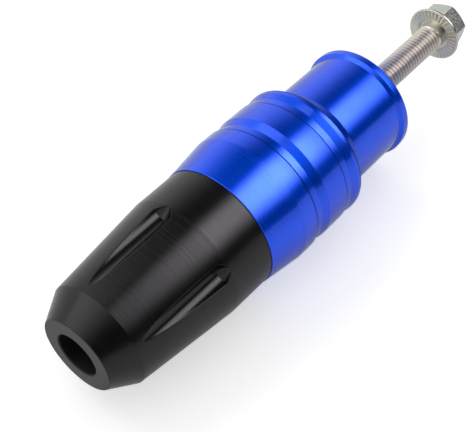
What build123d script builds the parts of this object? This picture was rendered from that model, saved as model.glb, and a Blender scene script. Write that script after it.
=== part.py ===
from build123d import *
import os
from math import radians, sqrt, tan

# Exhaust slider: a blue turned metal base, a black plastic nose in front of it, the screw and washer
# that hold the nose, and the serrated flange bolt that fixes the whole to the exhaust bracket.
# Millimetres. X runs along the axis towards the nose, and X = 0 is the rear face that meets the bracket.

# Lengths along the axis
base_len = 61.5
nose_len = 50.5
joint_x = base_len
front_x = joint_x + nose_len

# Nose
nose_r = 17.95
face_r = 10.7
cone_r = 14.95
cone_len = 7.4
taper_len = 29.9
bore_r = 6.15
seat_depth = 30.0
screw_hole_r = 3.3
joint_break = 0.2
face_break = 0.3

# Flutes: a pointed cutter, parallel to the axis, runs in from the front and leaves the mark of its point
flute_count = 5
flute_first_deg = 31.0
cutter_r = 3.0
cutter_orbit_r = 18.17
flute_depth = 38.1
cutter_point_deg = 90.0
cutter_overrun = 2.0

# Base, from the joint to the rear
base_front_r = 18.15
ramp_len = 11.7
body_r = 19.65
recess_1 = 16.4
recess_1_depth = 0.65
recess_1_land = 2.2
recess_1_rise = 2.5
recess_2 = 28.95
recess_2_depth = 0.55
recess_2_land = 2.1
recess_2_rise = 2.2
shoulder = 35.15
shoulder_break = 0.2
neck = 39.6
neck_r = 15.7
lip_r = 16.6
lip_len = 3.3
lip_rise = 0.9
lip_round = 0.8

# Spigot of the base in the rear recess of the nose
spigot_r = 10.0
spigot_len = 6.0
spigot_break = 0.6
spigot_clear = 0.05
spigot_end_clear = 0.2

# Flange bolt, M8 x 45, of which the last part is wound into the base
bolt_r = 4.0
bolt_len = 45.0
stand_off = 36.5
bolt_point = 0.9
bolt_hole_depth = 46.5
hex_across = 12.0
hex_turn_deg = -10.0
head_height = 7.9
crown_deg = 30.0
crown_r = 5.8
flange_r = 8.4
flange_edge = 1.0
flange_slope_deg = 25.0
flange_rim_round = 0.35
under_recess_r = 4.9
under_recess_depth = 0.6

# Nose screw, M6 x 25 with a hexagon socket, and its washer
screw_r = 3.0
screw_len = 25.0
screw_point = 0.7
screw_head_r = 5.0
screw_head_h = 6.0
screw_head_break = 0.6
socket_across = 5.0
socket_depth = 3.0
screw_hole_depth = 11.0
washer_r = 6.0
washer_hole_r = 3.2
washer_t = 1.6
washer_break = 0.25

# Tapped holes are plain bores a little wider than the thread
thread_clear = 0.05
mouth_break = 0.5
drill_point_deg = 118.0

seat_x = front_x - seat_depth
recess_x = joint_x + spigot_len + spigot_end_clear
spigot_x = joint_x + spigot_len
flange_x = -stand_off


def turned(section):
    """A solid of revolution about X from a closed outline drawn in X and radius."""
    return revolve(make_face(section), Axis.X)


def drilled(mouth_x, depth, radius, direction):
    """The space of a drilled hole on the axis: a cylinder with the cone of the drill's point."""
    bottom = mouth_x + direction * depth
    point = bottom + direction * radius / tan(radians(drill_point_deg / 2))
    mouth = Line((mouth_x, 0), (mouth_x, radius + mouth_break))
    rest = Polyline(
        mouth @ 1,
        (mouth_x + direction * mouth_break, radius),
        (bottom, radius),
        (point, 0),
        mouth @ 0,
    )
    return turned(mouth + rest)


def hexagon_bar(across, start_x, end_x):
    """A hexagonal bar along X, with a flat towards +Y and one towards -Y."""
    bar = extrude(RegularPolygon(across / 2, 6, major_radius=False), end_x - start_x)
    return Pos(start_x, 0, 0) * Rot(Y=90) * bar


def make_flute_cutter():
    shoulder_x = front_x - flute_depth + cutter_r / tan(radians(cutter_point_deg / 2))
    end_x = front_x + cutter_overrun
    outline = Polyline(
        (front_x - flute_depth, 0),
        (shoulder_x, cutter_r),
        (end_x, cutter_r),
        (end_x, 0),
        close=True,
    )
    return Pos(0, cutter_orbit_r, 0) * turned(outline)


def make_nose():
    cone_x = front_x - cone_len
    outline = Polyline(
        (joint_x, spigot_r + spigot_clear),
        (joint_x, nose_r - joint_break),
        (joint_x + joint_break, nose_r),
        (cone_x - taper_len, nose_r),
        (cone_x, cone_r),
        (front_x, face_r),
        (front_x, bore_r + face_break),
        (front_x - face_break, bore_r),
        (seat_x, bore_r),
        (seat_x, screw_hole_r),
        (recess_x, screw_hole_r),
        (recess_x, spigot_r + spigot_clear),
        close=True,
    )
    body = turned(outline)
    cutter = make_flute_cutter()
    for number in range(flute_count):
        angle = flute_first_deg + number * 360 / flute_count
        body -= Rot(X=angle) * cutter
    return body


def recess_line(from_joint, depth, land_len, rise_len):
    """A recess round the body, from front to rear: a rounded step down, a flat land and a straight rise."""
    step_x = joint_x - from_joint
    foot = (step_x - depth, body_r - depth)
    land_end = (foot[0] - land_len, foot[1])
    step = TangentArc((step_x, body_r), foot, tangent=(-1, 0))
    return step + Polyline(foot, land_end, (land_end[0] - rise_len, body_r))


def make_base():
    front = Polyline(
        (spigot_x, 0),
        (spigot_x, spigot_r - spigot_break),
        (spigot_x - spigot_break, spigot_r),
        (joint_x, spigot_r),
        (joint_x, base_front_r - joint_break),
        (joint_x - joint_break, base_front_r),
        (joint_x - ramp_len, body_r),
        (joint_x - recess_1, body_r),
    )
    recess_a = recess_line(recess_1, recess_1_depth, recess_1_land, recess_1_rise)
    recess_b = recess_line(recess_2, recess_2_depth, recess_2_land, recess_2_rise)
    middle = Line(recess_a @ 1, recess_b @ 0)
    shoulder_x = joint_x - shoulder
    lip_crest = (lip_len - lip_rise, lip_r)
    rear_half = Polyline(
        recess_b @ 1,
        (shoulder_x + shoulder_break, body_r),
        (shoulder_x - shoulder_break, body_r - shoulder_break),
        (joint_x - neck, neck_r),
        (lip_len, neck_r),
        lip_crest,
        (lip_round, lip_r),
    )
    lip_edge = TangentArc(rear_half @ 1, (0, lip_r - lip_round), tangent=(-1, 0))
    rear = Polyline(lip_edge @ 1, (0, 0), (spigot_x, 0))
    body = turned(front + recess_a + middle + recess_b + rear_half + lip_edge + rear)
    body -= drilled(0, bolt_hole_depth, bolt_r + thread_clear, 1)
    body -= drilled(spigot_x, screw_hole_depth, screw_r + thread_clear, -1)
    return body


def make_flange_bolt():
    hex_corner_r = hex_across / sqrt(3)
    flange_rise = (flange_r - hex_across / 2) * tan(radians(flange_slope_deg))
    top_x = flange_x - head_height
    crown = (hex_corner_r - crown_r) * tan(radians(crown_deg))
    bar = Rot(X=hex_turn_deg) * hexagon_bar(hex_across, top_x, flange_x - flange_edge)
    crown_outline = Polyline(
        (flange_x, 0),
        (flange_x, hex_corner_r),
        (top_x + crown, hex_corner_r),
        (top_x, crown_r),
        (top_x, 0),
        close=True,
    )
    tip_x = flange_x + bolt_len
    stem_outline = Polyline(
        (tip_x, 0),
        (tip_x, bolt_r - bolt_point),
        (tip_x - bolt_point, bolt_r),
        (flange_x - under_recess_depth, bolt_r),
        (flange_x - under_recess_depth, under_recess_r),
        (flange_x, under_recess_r),
        (flange_x, flange_r - flange_rim_round),
        (flange_x - flange_rim_round, flange_r),
        (flange_x - flange_edge, flange_r),
        (flange_x - flange_edge - flange_rise, hex_across / 2),
        (flange_x - flange_edge - flange_rise, 0),
        close=True,
    )
    return turned(stem_outline) + (bar & turned(crown_outline))


def make_nose_screw():
    under_head_x = seat_x + washer_t
    head_x = under_head_x + screw_head_h
    tip_x = under_head_x - screw_len
    outline = Polyline(
        (tip_x, 0),
        (tip_x, screw_r - screw_point),
        (tip_x + screw_point, screw_r),
        (under_head_x, screw_r),
        (under_head_x, screw_head_r),
        (head_x - screw_head_break, screw_head_r),
        (head_x, screw_head_r - screw_head_break),
        (head_x, 0),
        close=True,
    )
    return turned(outline) - hexagon_bar(socket_across, head_x - socket_depth, head_x)


def make_nose_washer():
    outline = Polyline(
        (seat_x, washer_hole_r),
        (seat_x, washer_r),
        (seat_x + washer_t - washer_break, washer_r),
        (seat_x + washer_t, washer_r - washer_break),
        (seat_x + washer_t, washer_hole_r),
        close=True,
    )
    return turned(outline)


nodes = {
    "nose": make_nose(),
    "base": make_base(),
    "nose_screw": make_nose_screw(),
    "nose_washer": make_nose_washer(),
    "flange_bolt": make_flange_bolt(),
}
os.makedirs("parts", exist_ok=True)
for name, solid in nodes.items():
    export_step(solid, f"parts/{name}.step")
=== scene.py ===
from math import acos, atan2, ceil, cos, pi, radians, sin, tan

import bmesh
import bpy
from mathutils import Matrix, Vector


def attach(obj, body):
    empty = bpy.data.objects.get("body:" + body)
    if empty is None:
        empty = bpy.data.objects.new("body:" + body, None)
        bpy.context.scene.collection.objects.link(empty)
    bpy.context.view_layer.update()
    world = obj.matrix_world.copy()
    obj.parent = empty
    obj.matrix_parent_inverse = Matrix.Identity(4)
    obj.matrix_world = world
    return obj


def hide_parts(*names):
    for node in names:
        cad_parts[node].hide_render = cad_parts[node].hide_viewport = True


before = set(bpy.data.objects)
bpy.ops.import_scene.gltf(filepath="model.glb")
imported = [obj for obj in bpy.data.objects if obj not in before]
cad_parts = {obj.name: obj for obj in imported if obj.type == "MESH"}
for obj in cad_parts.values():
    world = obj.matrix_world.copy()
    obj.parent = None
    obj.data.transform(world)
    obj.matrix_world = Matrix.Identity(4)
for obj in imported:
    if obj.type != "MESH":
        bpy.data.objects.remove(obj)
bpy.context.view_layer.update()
scene = bpy.context.scene
scene.view_settings.view_transform = "Standard"

# Camera: it looks down on the slider from beyond the nose, so that the nose lies low on the left
# and the bolt high on the right. Heading and height are those of the line of sight, taken from
# the slider to the camera.
camera_place = Vector((0.19700856, 0.12126999, 0.22261809))
heading = radians(40.354416)
height = radians(50.132957)
camera_data = bpy.data.cameras.new("camera")
camera_data.lens = 85.4887
camera_data.sensor_width = 36.0
camera_data.clip_start = 0.01
camera_data.clip_end = 50.0
camera = bpy.data.objects.new("camera", camera_data)
camera_right = Vector((-sin(heading), cos(heading), 0.0))
camera_up = Vector((-sin(height) * cos(heading), -sin(height) * sin(heading), cos(height)))
camera_axes = Matrix((camera_right, camera_up, camera_right.cross(camera_up))).transposed()
camera.matrix_world = Matrix.Translation(camera_place) @ camera_axes.to_4x4()
scene.collection.objects.link(camera)
scene.camera = camera


# Floor: a sheet of white paper. The slider lies on the widest part of its base, so the paper is
# one base radius below the axis. The lift brings the paper up to white for the camera, and a
# little of it shows in reflections too.
mm = 0.001
widest_radius = 19.65
floor_reach = 3000.0
paper_white = 0.75
paper_lift = 0.47
mirrored_lift = 0.16


def new_material(name):
    material = bpy.data.materials.new(name)
    material.use_nodes = True
    material.node_tree.nodes.clear()
    return material, material.node_tree


def node(tree, kind, inputs=None, **settings):
    """Adds a node; an input is given as a value or as the socket that feeds it."""
    made = tree.nodes.new(kind)
    for name, value in settings.items():
        setattr(made, name, value)
    for socket, value in (inputs or {}).items():
        if isinstance(value, bpy.types.NodeSocket):
            tree.links.new(value, made.inputs[socket])
        else:
            made.inputs[socket].default_value = value
    return made


def maths(tree, operation, *values):
    """The result of a maths node on values and sockets."""
    return node(tree, "ShaderNodeMath", dict(enumerate(values)), operation=operation).outputs[0]


def mesh_piece(name, points, faces, material):
    """A smooth shaded mesh object from points in millimetres."""
    mesh = bpy.data.meshes.new(name)
    mesh.from_pydata([[mm * value for value in point] for point in points], [], faces)
    mesh.materials.append(material)
    mesh.shade_smooth()
    piece = bpy.data.objects.new(name, mesh)
    scene.collection.objects.link(piece)
    return piece


white_paper, tree = new_material("white_paper")
paper = node(tree, "ShaderNodeBsdfDiffuse", {"Color": (paper_white,) * 3 + (1.0,)}).outputs[0]
path = node(tree, "ShaderNodeLightPath").outputs
lift = maths(tree, "MULTIPLY", path["Is Glossy Ray"], mirrored_lift)
lift = maths(tree, "MULTIPLY_ADD", path["Is Camera Ray"], paper_lift, lift)
glow = node(tree, "ShaderNodeEmission", {"Strength": lift}).outputs[0]
lifted = node(tree, "ShaderNodeAddShader", {0: paper, 1: glow}).outputs[0]
node(tree, "ShaderNodeOutputMaterial", {"Surface": lifted})

corners = ((-1, -1), (1, -1), (1, 1), (-1, 1))
floor = mesh_piece("floor", [(floor_reach * x, floor_reach * y, -widest_radius) for x, y in corners],
                   [(0, 1, 2, 3)], white_paper)


# Studio: white walls and a window of soft light on the left. Only reflections show the rest: a
# softbox over the table that polished metal mirrors as a bright band, a dark card round it that
# fades to white on a slant, a bright ceiling beyond the nose and a grey sheet to the right.
wall_light = 0.80
seen_wall_light = 1.0
wall_white = (1.0, 1.0, 1.0, 1.0)
world = bpy.data.worlds.new("studio")
world.use_nodes = True
tree = world.node_tree
tree.nodes.clear()
path = node(tree, "ShaderNodeLightPath").outputs
seen = maths(tree, "MAXIMUM", path["Is Camera Ray"], path["Is Glossy Ray"])
seen = maths(tree, "MAXIMUM", seen, path["Is Transmission Ray"])
fill = node(tree, "ShaderNodeBackground", {"Color": wall_white, "Strength": wall_light})
wall = node(tree, "ShaderNodeBackground", {"Color": wall_white, "Strength": seen_wall_light})
shown = node(tree, "ShaderNodeMixShader", {0: seen, 1: fill.outputs[0], 2: wall.outputs[0]})
node(tree, "ShaderNodeOutputWorld", {"Surface": shown.outputs[0]})
scene.world = world

window_angle = radians(128)
window_distance = 1000
window_middle = 60
window_length = 800
window_width = 500
window_level = 1.5
lamp = bpy.data.lights.new("window", "AREA")
lamp.shape = "RECTANGLE"
lamp.size = window_length * mm
lamp.size_y = window_width * mm
lamp.energy = window_level * pi * lamp.size * lamp.size_y
outwards = Vector((0.0, cos(window_angle), sin(window_angle)))
lengthwise = Vector((1, 0, 0))
lamp_axes = Matrix((lengthwise, lengthwise.cross(outwards), outwards)).transposed()
lamp_place = mm * (window_middle * lengthwise + window_distance * outwards)
window = bpy.data.objects.new("window", lamp)
window.matrix_world = Matrix.Translation(lamp_place) @ lamp_axes.to_4x4()
window.visible_camera = False
window.visible_glossy = False
scene.collection.objects.link(window)


def only_reflected(piece):
    """Leaves a stage piece to reflections: no camera sees it and it gives no light or shadow."""
    piece.visible_camera = False
    piece.visible_diffuse = False
    piece.visible_shadow = False
    piece.visible_transmission = False


def curved_card(name, radius, angles, lengths, material, steps=24):
    """A sheet bent round the axis, between two angles in degrees and two places along the axis."""
    points = []
    for step in range(steps + 1):
        angle = radians(angles[0] + (angles[1] - angles[0]) * step / steps)
        points += [(x, radius * cos(angle), radius * sin(angle)) for x in lengths]
    faces = [(2 * n, 2 * n + 1, 2 * n + 3, 2 * n + 2) for n in range(steps)]
    only_reflected(mesh_piece(name, points, faces, material))


def smooth_step(tree, value, start, end):
    """From nought to one between two values, gently at both ends."""
    return node(tree, "ShaderNodeMapRange", {"Value": value, "From Min": start, "From Max": end},
                interpolation_type="SMOOTHSTEP").outputs[0]


def turn_and_along(tree):
    """How far round the axis a place is, in radians, and how far along it, in metres."""
    place = node(tree, "ShaderNodeTexCoord").outputs["Object"]
    parts = node(tree, "ShaderNodeSeparateXYZ", {0: place}).outputs
    return maths(tree, "ARCTAN2", parts["Z"], parts["Y"]), parts["X"]


def fading_card(name, dark, light, brightest, slant=0.0):
    """A card's material that brightens round the axis from one angle to another, which both
    grow by the slant, in degrees for each metre along."""
    material, tree = new_material(name)
    turn, along = turn_and_along(tree)
    turn = maths(tree, "MULTIPLY_ADD", along, -radians(slant), turn)
    fade = smooth_step(tree, turn, radians(dark), radians(light))
    fade = maths(tree, "MULTIPLY", fade, brightest)
    glow = node(tree, "ShaderNodeEmission", {"Strength": fade}).outputs[0]
    node(tree, "ShaderNodeOutputMaterial", {"Surface": glow})
    return material


softbox_radius = 2000
softbox_level = 5.5
softbox_colour = (1.0, 0.95, 1.0, 1.0)
softbox_low, softbox_high = 24, 94
softbox_far, softbox_near = -1900, -150
bright_low, bright_high = 56, 70
bright_far, bright_near = -1200, -600
softbox_cloth, tree = new_material("softbox_cloth")
turn, along = turn_and_along(tree)
level = softbox_level
for value, edge, full in ((turn, radians(softbox_low), radians(bright_low)),
                          (turn, radians(softbox_high), radians(bright_high)),
                          (along, softbox_near * mm, bright_near * mm),
                          (along, softbox_far * mm, bright_far * mm)):
    level = maths(tree, "MULTIPLY", smooth_step(tree, value, edge, full), level)
glow = node(tree, "ShaderNodeEmission", {"Color": softbox_colour, "Strength": level})
node(tree, "ShaderNodeOutputMaterial", {"Surface": glow.outputs[0]})
curved_card("softbox", softbox_radius, (softbox_low, softbox_high), (softbox_far, softbox_near),
            softbox_cloth)

card_radius = 3000
card_low = 7
card_border = -510
dark_fade = fading_card("dark_card", dark=125.6, light=179.6, brightest=1.0, slant=11.0)
curved_card("dark_card", card_radius, angles=(card_low, 180), lengths=(-20000, card_border),
            material=dark_fade)
ceiling_fade = fading_card("ceiling", dark=48, light=138, brightest=2.0)
curved_card("ceiling", card_radius, angles=(card_low, 150), lengths=(card_border, 4500),
            material=ceiling_fade)

sheet_grey = (0.85, 0.85, 0.85, 1.0)
sheet_z = 0.1 - widest_radius
sheet_reach = 900
sheet_top = 110
sheet_lengths = (-2200, 1600)
grey_card, tree = new_material("grey_card")
dull = node(tree, "ShaderNodeBsdfDiffuse", {"Color": sheet_grey}).outputs[0]
node(tree, "ShaderNodeOutputMaterial", {"Surface": dull})
sheet_line = [(0, sheet_z), (sheet_reach, sheet_z), (sheet_reach, sheet_top)]
only_reflected(mesh_piece("grey_sheet", [(x, y, z) for y, z in sheet_line for x in sheet_lengths],
                          [(0, 1, 3, 2), (2, 3, 5, 4)], grey_card))


# Base: turned from aluminium bar and anodised a clear blue. A ramp behind the joint, two recesses
# that each start with a rounded step and rise again to the full width, a waist and a lip that
# meets the bracket. The steps are painted a darker blue as painted shade, and they have no
# clear coat. Tapped from both ends.
around = 256
merge_distance = 1e-7
shortest_edge = 1e-8
joint_x = 61.5
joint_radius = 18.15
joint_break = 0.1
wide = widest_radius - 0.01
ramp_end = 49.8
recesses = ((45.1, 0.65, 42.25, 39.75), (32.55, 0.55, 29.9, 27.7))
shoulder_x = 26.55
shoulder_break = 0.2
waist = 15.7
waist_front, waist_rear = 21.9, 3.3
lip = 16.6
lip_front = 2.4
lip_round = 0.8
spigot_x = 67.5
spigot_radius = 10.0
spigot_break = 0.6
hole_break = 0.5
screw_hole = 3.05
screw_hole_end, screw_hole_point = 56.5, 54.67
bolt_hole = 4.05
bolt_hole_end, bolt_hole_point = 46.5, 48.93
# Bands along the axis, by middle and half width, where the steps get painted shade.
painted_shade_bands = ((44.75, 0.35), (32.25, 0.30), (26.35, 0.25))


def round_off(x, crest, radius, steps):
    """A level crest that ends at x, and the quarter round by which it falls from there."""
    quarter = [0.5 * pi * step / steps for step in range(steps + 1)]
    return [(x - radius * sin(turn), crest - radius * (1 - cos(turn))) for turn in quarter]


def circle(x, radius):
    """One ring of a turned piece."""
    turns = [2 * pi * n / around for n in range(around)]
    return [(x, radius * cos(turn), radius * sin(turn)) for turn in turns]


def skin(name, rings, material, closed=False):
    """A piece whose skin joins ring to ring, and when it is closed, the last one to the first."""
    count = len(rings[0])
    faces = []
    for row in range(len(rings) if closed else len(rings) - 1):
        near, far = row * count, (row + 1) % len(rings) * count
        for n in range(count):
            after = (n + 1) % count
            faces.append((near + n, far + n, far + after, near + after))
    return mesh_piece(name, [point for ring in rings for point in ring], faces, material)


def finish_turned(piece, crease_degrees):
    """Merges what coincides, turns the faces outwards and keeps the turned edges crisp."""
    bm = bmesh.new()
    bm.from_mesh(piece.data)
    bmesh.ops.remove_doubles(bm, verts=bm.verts, dist=merge_distance)
    bmesh.ops.dissolve_degenerate(bm, edges=bm.edges, dist=shortest_edge)
    bmesh.ops.recalc_face_normals(bm, faces=bm.faces)
    bm.to_mesh(piece.data)
    bm.free()
    piece.data.shade_smooth()
    piece.data.set_sharp_from_angle(angle=radians(crease_degrees))


def place_along_and_out(tree):
    """The place on a piece, how far along the axis it is and how far from it, in metres."""
    place = node(tree, "ShaderNodeTexCoord").outputs["Object"]
    parts = node(tree, "ShaderNodeSeparateXYZ", {0: place}).outputs
    across = node(tree, "ShaderNodeCombineXYZ", {"X": parts["Y"], "Y": parts["Z"]}).outputs[0]
    out = node(tree, "ShaderNodeVectorMath", {0: across}, operation="LENGTH").outputs["Value"]
    return place, parts["X"], out


def noise(tree, place, scale, detail, dimensions="3D"):
    return node(tree, "ShaderNodeTexNoise", {"Vector": place, "Scale": scale, "Detail": detail},
                noise_dimensions=dimensions).outputs[0]


def tool_rings(tree, along, out, scale):
    """Fine uneven rings round the axis, as a turning tool leaves them."""
    profile = node(tree, "ShaderNodeCombineXYZ", {"X": along, "Y": out}).outputs[0]
    return noise(tree, profile, scale, 4.0, "2D")


def spread(tree, value, low, high):
    """A texture's value, from about 0.3 to 0.7, spread over a range."""
    return node(tree, "ShaderNodeMapRange", {"Value": value, "From Min": 0.3, "From Max": 0.7,
                                             "To Min": low, "To Max": high}).outputs[0]


def mix_colours(tree, share, first, second):
    """From the first colour to the second by a share; each is a colour or the socket of one."""
    ends = [(*end, 1.0) if isinstance(end, tuple) else end for end in (first, second)]
    return node(tree, "ShaderNodeMix", {"Factor": share, 6: ends[0], 7: ends[1]},
                data_type="RGBA").outputs[2]


def bumped(tree, texture, strength, depth):
    """The normal of a surface with a texture's relief, of a depth in metres."""
    return node(tree, "ShaderNodeBump", {"Strength": strength, "Distance": depth,
                                         "Height": texture}).outputs[0]


def finish_material(tree, looks):
    """Ends a material: one shader with its looks by the names of their sockets."""
    shader = node(tree, "ShaderNodeBsdfPrincipled", looks).outputs[0]
    node(tree, "ShaderNodeOutputMaterial", {"Surface": shader})


blue_anodised, tree = new_material("blue_anodised")
place, along, out = place_along_and_out(tree)
rings = tool_rings(tree, along, out, 2600.0)
clouds = noise(tree, place, 140.0, 3.0)
blue = mix_colours(tree, spread(tree, clouds, 0.0, 1.0), (0.0010, 0.078, 0.92), (0.0020, 0.088, 1.00))
# In these bands the base colour turns dark blue, which is painted shade, and the clear coat goes.
outside_painted_shade = 1.0
for middle_x, reach in painted_shade_bands:
    in_shade_band = maths(tree, "COMPARE", along, middle_x * mm, reach * mm)
    outside_painted_shade = maths(tree, "SUBTRACT", outside_painted_shade, in_shade_band)
relief = bumped(tree, rings, 0.03, 0.00004)
finish_material(tree, {
    "Base Color": mix_colours(tree, outside_painted_shade, (0.0005, 0.022, 0.26), blue), "Metallic": 0.8,
    "Roughness": spread(tree, rings, 0.25, 0.275), "Specular Tint": (0.02, 0.40, 0.25, 1.0),
    "Coat Weight": outside_painted_shade, "Coat Roughness": 0.10, "Coat IOR": 1.42,
    "Normal": relief, "Coat Normal": relief})

base_outline = [(screw_hole_point, 0), (screw_hole_end, screw_hole),
                (spigot_x - hole_break, screw_hole), (spigot_x, screw_hole + hole_break),
                (spigot_x, spigot_radius - spigot_break), (spigot_x - spigot_break, spigot_radius),
                (joint_x, spigot_radius), (joint_x, joint_radius - joint_break),
                (joint_x - joint_break, joint_radius), (ramp_end, wide)]
for step_x, depth, floor_end, rise_end in recesses:
    base_outline += round_off(step_x, wide, depth, steps=12)
    base_outline += [(floor_end, wide - depth), (rise_end, wide)]
base_outline += [(shoulder_x, wide), (shoulder_x - 2 * shoulder_break, wide - shoulder_break),
                 (waist_front, waist), (waist_rear, waist), (lip_front, lip)]
base_outline += round_off(lip_round, lip, lip_round, steps=16)
base_outline += [(0.0, bolt_hole + hole_break), (hole_break, bolt_hole),
                 (bolt_hole_end, bolt_hole), (bolt_hole_point, 0)]
base = skin("base_turned", [circle(x, radius) for x, radius in base_outline], blue_anodised)
finish_turned(base, crease_degrees=6)
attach(base, "slider")
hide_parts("base")


# Nose: turned from black plastic bar, bored for its screw, with five flutes that a pointed
# cutter ran in along it. The bore and the faced end stay duller than the outside. A screw and
# washer down the bore hold it on the base's spigot.
front_x = 112.0
face_radius = 10.62
face_break_length, face_break_width = 0.15, 0.17
cone_depth = 7.4
cone_radius = 14.95
taper_run = 29.9
taper_rise = 3.0
straight_radius = 17.95
rear_break = 0.2
bore_radius = 6.15
bore_break = 0.3
bore_floor = 82.0
screw_way = 3.3
socket_end = 67.7
socket_radius = 10.05
bored_within = 6.4
faced_from = front_x - 0.2
fluted_beyond = 12.0
flutes = 5
first_flute = radians(31.0)
cutter_radius = 3.0
cutter_orbit = 18.17
flute_end = 38.1
rim_break = 0.16
rim_share = 0.25
land_steps, rim_steps, floor_steps = 40, 3, 22

black_plastic, tree = new_material("black_plastic")
place, along, out = place_along_and_out(tree)
rings = tool_rings(tree, along, out, 2000.0)
mottle = noise(tree, place, 260.0, 4.0)
black = mix_colours(tree, spread(tree, mottle, 0.0, 1.0),
                    (0.0030, 0.0030, 0.0032), (0.0050, 0.0050, 0.0053))
bored = maths(tree, "LESS_THAN", out, bored_within * mm)
faced = maths(tree, "GREATER_THAN", along, faced_from * mm)
roughness = spread(tree, rings, 0.19, 0.27)
for share, duller in ((bored, 0.30), (faced, 0.17)):
    roughness = maths(tree, "MULTIPLY_ADD", share, duller, roughness)
finish_material(tree, {
    "Base Color": black, "Metallic": 0.0, "Roughness": roughness, "IOR": 1.40,
    "Normal": bumped(tree, rings, 0.16, 0.00006)})


def outer_radius(depth):
    """The nose's outer radius at a depth behind its face, on the taper and the straight part."""
    return min(straight_radius, cone_radius + (depth - cone_depth) * taper_rise / taper_run)


def ring_with_flutes(x, radius):
    """One ring of the nose's skin: for each flute its rims, broken edges and floor, then land."""
    hair = 1e-9
    cut = max(0.0, min(cutter_radius, flute_end - (front_x - x)))
    open_here = cut > 0 and radius > cutter_orbit - cut + hair and radius > fluted_beyond
    swing = 0.0
    if open_here:
        reach = (cutter_orbit ** 2 + cut ** 2 - radius ** 2) / (2 * cutter_orbit * cut)
        swing = acos(max(-1.0, min(1.0, reach)))

    def on_floor(turn):
        """A point of the flute's floor; with no flute open here they all fall together."""
        if not open_here:
            return radius, 0.0
        return cutter_orbit - cut * cos(turn), cut * sin(turn)

    rim = min(rim_break, rim_share * cut * swing)
    corner = on_floor(swing)
    land_turn = atan2(corner[1], corner[0]) + rim / radius
    on_land = (radius * cos(land_turn), radius * sin(land_turn))
    inner_swing = swing - (rim / cut if open_here else 0.0)
    inner = on_floor(inner_swing)
    half = [on_land]
    for step in range(1, rim_steps + 1):
        share = step / rim_steps
        half.append(tuple((1 - share) ** 2 * start + 2 * share * (1 - share) * bend
                          + share * share * end
                          for start, bend, end in zip(on_land, corner, inner)))
    floor_line = [on_floor(inner_swing * (1 - 2 * step / floor_steps))
                  for step in range(1, floor_steps)]
    section = half + floor_line + [(out, -side) for out, side in reversed(half)]
    ring = []
    for flute in range(flutes):
        middle = first_flute + 2 * pi * flute / flutes
        for out, side in section:
            ring.append((x, out * cos(middle) + side * sin(middle),
                         out * sin(middle) - side * cos(middle)))
        width = 2 * pi / flutes - 2 * land_turn
        for step in range(1, land_steps):
            angle = middle + land_turn + width * step / land_steps
            ring.append((x, radius * cos(angle), radius * sin(angle)))
    return ring


# The rings lie close together where a flute's point opens and where its front end runs out.
point_depth = flute_end - (cutter_orbit - straight_radius)
runout_depth = cone_depth + (cutter_orbit - cutter_radius - cone_radius) * taper_run / taper_rise
depths = [front_x - joint_x - rear_break, 44.0, point_depth + 0.1, point_depth, point_depth - 0.15,
          37.5, 37.4, 37.3, 37.2, 37.0, 36.5, 36.0, 35.6, 35.3, 35.1, 34.9, 34.5]
depths += range(34, 12, -1)
runout_spacing = 0.0115
depths += [runout_depth + runout_spacing * step * step for step in range(14, -1, -1)]
depths += [runout_depth - 0.1, 8.5, 7.5, cone_depth]
nose_outline = [(joint_x, socket_radius), (joint_x, straight_radius - rear_break)]
nose_outline += [(front_x - depth, outer_radius(depth)) for depth in depths]
nose_outline += [(front_x - face_break_length, face_radius + face_break_width),
                 (front_x, face_radius), (front_x, bore_radius + bore_break),
                 (front_x - bore_break, bore_radius), (bore_floor, bore_radius),
                 (bore_floor, screw_way), (socket_end, screw_way), (socket_end, socket_radius)]
nose = skin("nose_turned", [ring_with_flutes(x, radius) for x, radius in nose_outline],
            black_plastic, closed=True)
finish_turned(nose, crease_degrees=14)
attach(nose, "slider")
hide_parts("nose")


# Screw and washer down the nose's bore: a black socket screw and a plain steel washer. Both keep
# the shape of their solids and get only a finish here.
def grained_steel(name, grain_scale, dark, light, metallic, roughness):
    """Steel whose colour, roughness and slight relief follow one fine grain."""
    material, tree = new_material(name)
    place = node(tree, "ShaderNodeTexCoord").outputs["Object"]
    grain = noise(tree, place, grain_scale, 3.0)
    finish_material(tree, {
        "Base Color": mix_colours(tree, spread(tree, grain, 0.0, 1.0), dark, light),
        "Metallic": metallic, "Roughness": spread(tree, grain, *roughness),
        "Normal": bumped(tree, grain, 0.2, 0.00004)})
    return material


black_steel = grained_steel("black_steel", 900.0, dark=(0.020, 0.020, 0.022),
                            light=(0.045, 0.044, 0.046), metallic=0.6, roughness=(0.34, 0.48))
zinc_steel = grained_steel("steel", 700.0, dark=(0.46, 0.46, 0.47),
                           light=(0.60, 0.60, 0.60), metallic=1.0, roughness=(0.26, 0.38))
for solid, material in (("nose_screw", black_steel), ("nose_washer", zinc_steel)):
    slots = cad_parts[solid].data.materials
    slots.clear()
    slots.append(material)


# Flange bolt, M8 x 45: cold formed stainless steel with a rolled thread, a hexagon head and a
# flange whose serrated face points at the base. It is wound a few turns into the base.
pitch = 1.25
thread_radius = 4.0
thread_depth = 0.72
point_radius = 3.1
flange_x = -36.5
thread_start = flange_x + 1.4
bolt_end = flange_x + 45.0
thread_turns = ceil((bolt_end - thread_start) / pitch) + 1
bolt_around = 96
turn_rows = 16
flange_radius = 8.4
flange_edge = 1.0
edge_break_length, edge_break_width = 0.1, 0.06
face_x = flange_x - 0.25
face_inner = 5.2
face_rounding = ((0.0, 8.05), (0.08, 8.25), (0.22, 8.37), (0.35, flange_radius))
recess_x = flange_x - 0.6
recess_radius = 4.9
half_across = 6.0
hex_corner = radians(20)
top_x = flange_x - 7.9
crown_radius = 5.8
serrations = 36
front_from = flange_x - 0.5
shank_within = 4.2
flank_top, flank_foot = 3.9, 3.4

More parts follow.
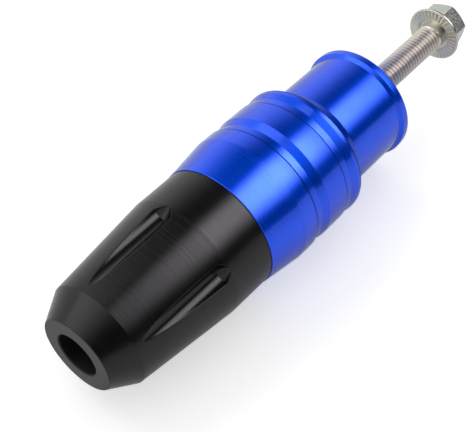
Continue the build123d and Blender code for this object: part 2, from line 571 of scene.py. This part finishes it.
stainless, tree = new_material("stainless_steel")
place, along, out = place_along_and_out(tree)
drawn = noise(tree, place, 1500.0, 4.0)
clouds = noise(tree, place, 220.0, 3.0)
cloudy = spread(tree, clouds, 0.0, 1.0)
# The thread keeps the steel's warm tint and is painted darker from its crests down into its roots:
# painted shade in the roots.
painted_root_shade = node(tree, "ShaderNodeMapRange", {"Value": out, "From Min": flank_top * mm,
                                            "From Max": flank_foot * mm}).outputs[0]
warm_thread_painted_shade = mix_colours(tree, painted_root_shade, (0.76, 0.72, 0.64), (0.38, 0.34, 0.29))
grey_face = mix_colours(tree, cloudy, (0.60, 0.58, 0.48), (0.70, 0.68, 0.57))
in_front = maths(tree, "GREATER_THAN", along, front_from * mm)
thin = maths(tree, "LESS_THAN", out, shank_within * mm)
on_shank = maths(tree, "MULTIPLY", in_front, thin)
colour = mix_colours(tree, cloudy, (0.44, 0.465, 0.43), (0.56, 0.59, 0.545))
roughness = spread(tree, drawn, 0.16, 0.28)
for share, other, duller in ((in_front, grey_face, 0.22), (on_shank, warm_thread_painted_shade, -0.08)):
    colour = mix_colours(tree, share, colour, other)
    roughness = maths(tree, "MULTIPLY_ADD", share, duller, roughness)
finish_material(tree, {"Base Color": colour, "Metallic": 1.0, "Roughness": roughness,
                       "Normal": bumped(tree, drawn, 0.18, 0.00005)})


def new_tree(name, sizes):
    """A geometry tree whose inputs are the named sizes: (name, kind, value)."""
    tree = bpy.data.node_groups.new(name, "GeometryNodeTree")
    tree.interface.new_socket("Geometry", in_out="OUTPUT", socket_type="NodeSocketGeometry")
    for title, kind, value in sizes:
        socket = tree.interface.new_socket(title, in_out="INPUT", socket_type=kind)
        socket.default_value = value
    return tree, node(tree, "NodeGroupInput").outputs


def finish_tree(tree, shape, material):
    """Ends a geometry tree: real geometry, with its material."""
    real = node(tree, "GeometryNodeRealizeInstances", {0: shape}).outputs[0]
    dressed = node(tree, "GeometryNodeSetMaterial", {0: real, "Material": material}).outputs[0]
    node(tree, "NodeGroupOutput", {0: dressed})


def made_by_tree(name, tree, sizes):
    """Runs a geometry tree with its sizes and returns the result as a plain mesh object."""
    mesh = bpy.data.meshes.new(name)
    maker = bpy.data.objects.new(name, mesh)
    scene.collection.objects.link(maker)
    modifier = maker.modifiers.new(tree.name, "NODES")
    modifier.node_group = tree
    values = {title: value for title, _, value in sizes}
    for item in tree.interface.items_tree:
        if item.in_out == "INPUT":
            modifier[item.identifier] = values[item.name]
    evaluated = maker.evaluated_get(bpy.context.evaluated_depsgraph_get())
    result = bpy.data.meshes.new_from_object(evaluated)
    maker.modifiers.remove(modifier)
    maker.data = result
    return maker


# The thread is a sheet wound round the axis. Each of its rows goes round once and moves on by the
# pitch, the profile repeats with every turn, and the first and last rows close on the axis.
# Root and crest are told by how far, in pitches, a row is from the middle of the root.
thread_sizes = [("Pitch", "NodeSocketFloat", pitch * mm),
                ("Crest Radius", "NodeSocketFloat", thread_radius * mm),
                ("Depth", "NodeSocketFloat", thread_depth * mm),
                ("Start", "NodeSocketFloat", thread_start * mm),
                ("End", "NodeSocketFloat", bolt_end * mm),
                ("Point Radius", "NodeSocketFloat", point_radius * mm),
                ("Turns", "NodeSocketInt", thread_turns),
                ("Rows", "NodeSocketInt", turn_rows),
                ("Around", "NodeSocketInt", bolt_around)]
root_ends, crest_starts = 0.125, 0.4375
run_out_rate = 3.0
tree, size = new_tree("rolled_thread", thread_sizes)
rows = maths(tree, "MULTIPLY_ADD", size["Turns"], size["Rows"], 1.0)
columns = maths(tree, "ADD", size["Around"], 1.0)
sheet = node(tree, "GeometryNodeMeshGrid", {"Size X": 1.0, "Size Y": 1.0, "Vertices X": rows,
                                            "Vertices Y": columns}).outputs["Mesh"]
index = node(tree, "GeometryNodeInputIndex").outputs[0]
row = maths(tree, "FLOOR", maths(tree, "DIVIDE", maths(tree, "ADD", index, 0.5), columns))
column = maths(tree, "SUBTRACT", index, maths(tree, "MULTIPLY", row, columns))
turn = maths(tree, "DIVIDE", column, size["Around"])
turns_on = maths(tree, "DIVIDE", row, size["Rows"])
wound = maths(tree, "ADD", turns_on, maths(tree, "SUBTRACT", turn, 1.0))
free_x = maths(tree, "MULTIPLY_ADD", wound, size["Pitch"], size["Start"])
thread_x = maths(tree, "MAXIMUM", free_x, size["Start"])
thread_x = maths(tree, "MINIMUM", thread_x, size["End"])
from_root = maths(tree, "ABSOLUTE", maths(tree, "SUBTRACT", maths(tree, "FRACT", turns_on), 0.5))
cut = node(tree, "ShaderNodeMapRange", {"Value": from_root, "From Min": root_ends,
                                        "From Max": crest_starts, "To Min": 1.0,
                                        "To Max": 0.0}).outputs[0]
since_start = maths(tree, "SUBTRACT", thread_x, size["Start"])
run_in = maths(tree, "MINIMUM", maths(tree, "DIVIDE", since_start, size["Pitch"]), 1.0)
until_end = maths(tree, "SUBTRACT", size["End"], thread_x)
run_out = maths(tree, "MULTIPLY", maths(tree, "DIVIDE", until_end, size["Pitch"]), run_out_rate)
run_out = maths(tree, "MINIMUM", run_out, 1.0)
cut = maths(tree, "MULTIPLY", cut, maths(tree, "MULTIPLY", run_in, run_out))
cut_depth = maths(tree, "MULTIPLY", cut, size["Depth"])
radius = maths(tree, "SUBTRACT", size["Crest Radius"], cut_depth)
radius = maths(tree, "MINIMUM", radius, maths(tree, "ADD", size["Point Radius"], until_end))
first_row = maths(tree, "COMPARE", row, 0.0, 0.5)
last_row = maths(tree, "COMPARE", row, maths(tree, "SUBTRACT", rows, 1.0), 0.5)
open_row = maths(tree, "SUBTRACT", 1.0, maths(tree, "ADD", first_row, last_row))
radius = maths(tree, "MULTIPLY", radius, open_row)
angle = maths(tree, "MULTIPLY", turn, 2 * pi)
place = node(tree, "ShaderNodeCombineXYZ", {
    "X": thread_x, "Y": maths(tree, "MULTIPLY", radius, maths(tree, "COSINE", angle)),
    "Z": maths(tree, "MULTIPLY", radius, maths(tree, "SINE", angle))}).outputs[0]
wrapped = node(tree, "GeometryNodeSetPosition", {"Geometry": sheet, "Position": place}).outputs[0]
closed = node(tree, "GeometryNodeMergeByDistance", {"Geometry": wrapped,
                                                    "Distance": merge_distance}).outputs[0]
finish_tree(tree, closed, stainless)
thread = made_by_tree("thread", tree, thread_sizes)

# Each serration is a three-sided bar, wider at its outer end. It is flattened and laid along a
# radius of the flange's face.
tooth_sizes = [("Count", "NodeSocketInt", serrations),
               ("Inner Radius", "NodeSocketFloat", 5.35 * mm),
               ("Length", "NodeSocketFloat", 2.65 * mm),
               ("Inner Size", "NodeSocketFloat", 0.540 * mm),
               ("Outer Size", "NodeSocketFloat", 0.806 * mm),
               ("Flatness", "NodeSocketFloat", 0.17),
               ("Crest", "NodeSocketFloat", (flange_x - 0.03) * mm)]
tree, size = new_tree("flange_serrations", tooth_sizes)
tooth = node(tree, "GeometryNodeMeshCone", {
    "Vertices": 3, "Radius Top": size["Outer Size"], "Radius Bottom": size["Inner Size"],
    "Depth": size["Length"]}).outputs["Mesh"]
tooth_rise = maths(tree, "MULTIPLY", size["Outer Size"], size["Flatness"])
tooth_x = maths(tree, "SUBTRACT", size["Crest"], tooth_rise)
tooth_place = node(tree, "ShaderNodeCombineXYZ", {"X": tooth_x, "Z": size["Inner Radius"]})
tooth_scale = node(tree, "ShaderNodeCombineXYZ", {"X": size["Flatness"], "Y": 1.0, "Z": 1.0})
tooth = node(tree, "GeometryNodeTransform", {
    "Geometry": tooth, "Translation": tooth_place.outputs[0],
    "Scale": tooth_scale.outputs[0]}).outputs[0]
step_angle = maths(tree, "DIVIDE", 2 * pi, size["Count"])
index = node(tree, "GeometryNodeInputIndex").outputs[0]
tooth_angle = maths(tree, "MULTIPLY", index, step_angle)
turned = node(tree, "ShaderNodeCombineXYZ", {"X": tooth_angle}).outputs[0]
places = node(tree, "GeometryNodePoints", {"Count": size["Count"]}).outputs[0]
teeth = node(tree, "GeometryNodeInstanceOnPoints", {
    "Points": places, "Instance": tooth, "Rotation": turned}).outputs[0]
finish_tree(tree, teeth, stainless)
teeth = made_by_tree("serrations", tree, tooth_sizes)


def hex_radius(angle):
    """The hexagon's radius at an angle from one of its corners."""
    return half_across / cos(angle % (pi / 3) - pi / 6)


def head_ring(x, radius, slope=0.0):
    """A ring of the head; with no radius given it lies on the hexagon and x shifts with it."""
    ring = []
    for n in range(bolt_around):
        angle = 2 * pi * n / bolt_around
        out = hex_radius(angle) if radius is None else radius
        turned = hex_corner + angle
        ring.append((x + slope * out, out * cos(turned), out * sin(turned)))
    return ring


edge_x = flange_x - flange_edge
rise = tan(radians(25))
crown = tan(radians(30))
flange_outline = [(thread_start, 0.0), (thread_start, thread_radius), (recess_x, thread_radius),
                  (recess_x, recess_radius), (face_x, face_inner)]
flange_outline += [(face_x - back, radius) for back, radius in face_rounding]
flange_outline += [(edge_x + edge_break_length, flange_radius),
                   (edge_x, flange_radius - edge_break_width)]
head_rings = [head_ring(x, radius) for x, radius in flange_outline]
head_rings += [head_ring(edge_x - flange_radius * rise, None, rise),
               head_ring(top_x - crown_radius * crown, None, crown),
               head_ring(top_x, crown_radius), head_ring(top_x, 0.0)]
bolt = skin("bolt_head", head_rings, stainless)
bm = bmesh.new()
for part in (bolt, thread, teeth):
    bm.from_mesh(part.data)
bm.to_mesh(bolt.data)
bm.free()
for part in (thread, teeth):
    bpy.data.objects.remove(part)
finish_turned(bolt, crease_degrees=28)
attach(bolt, "bolt")
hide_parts("flange_bolt")
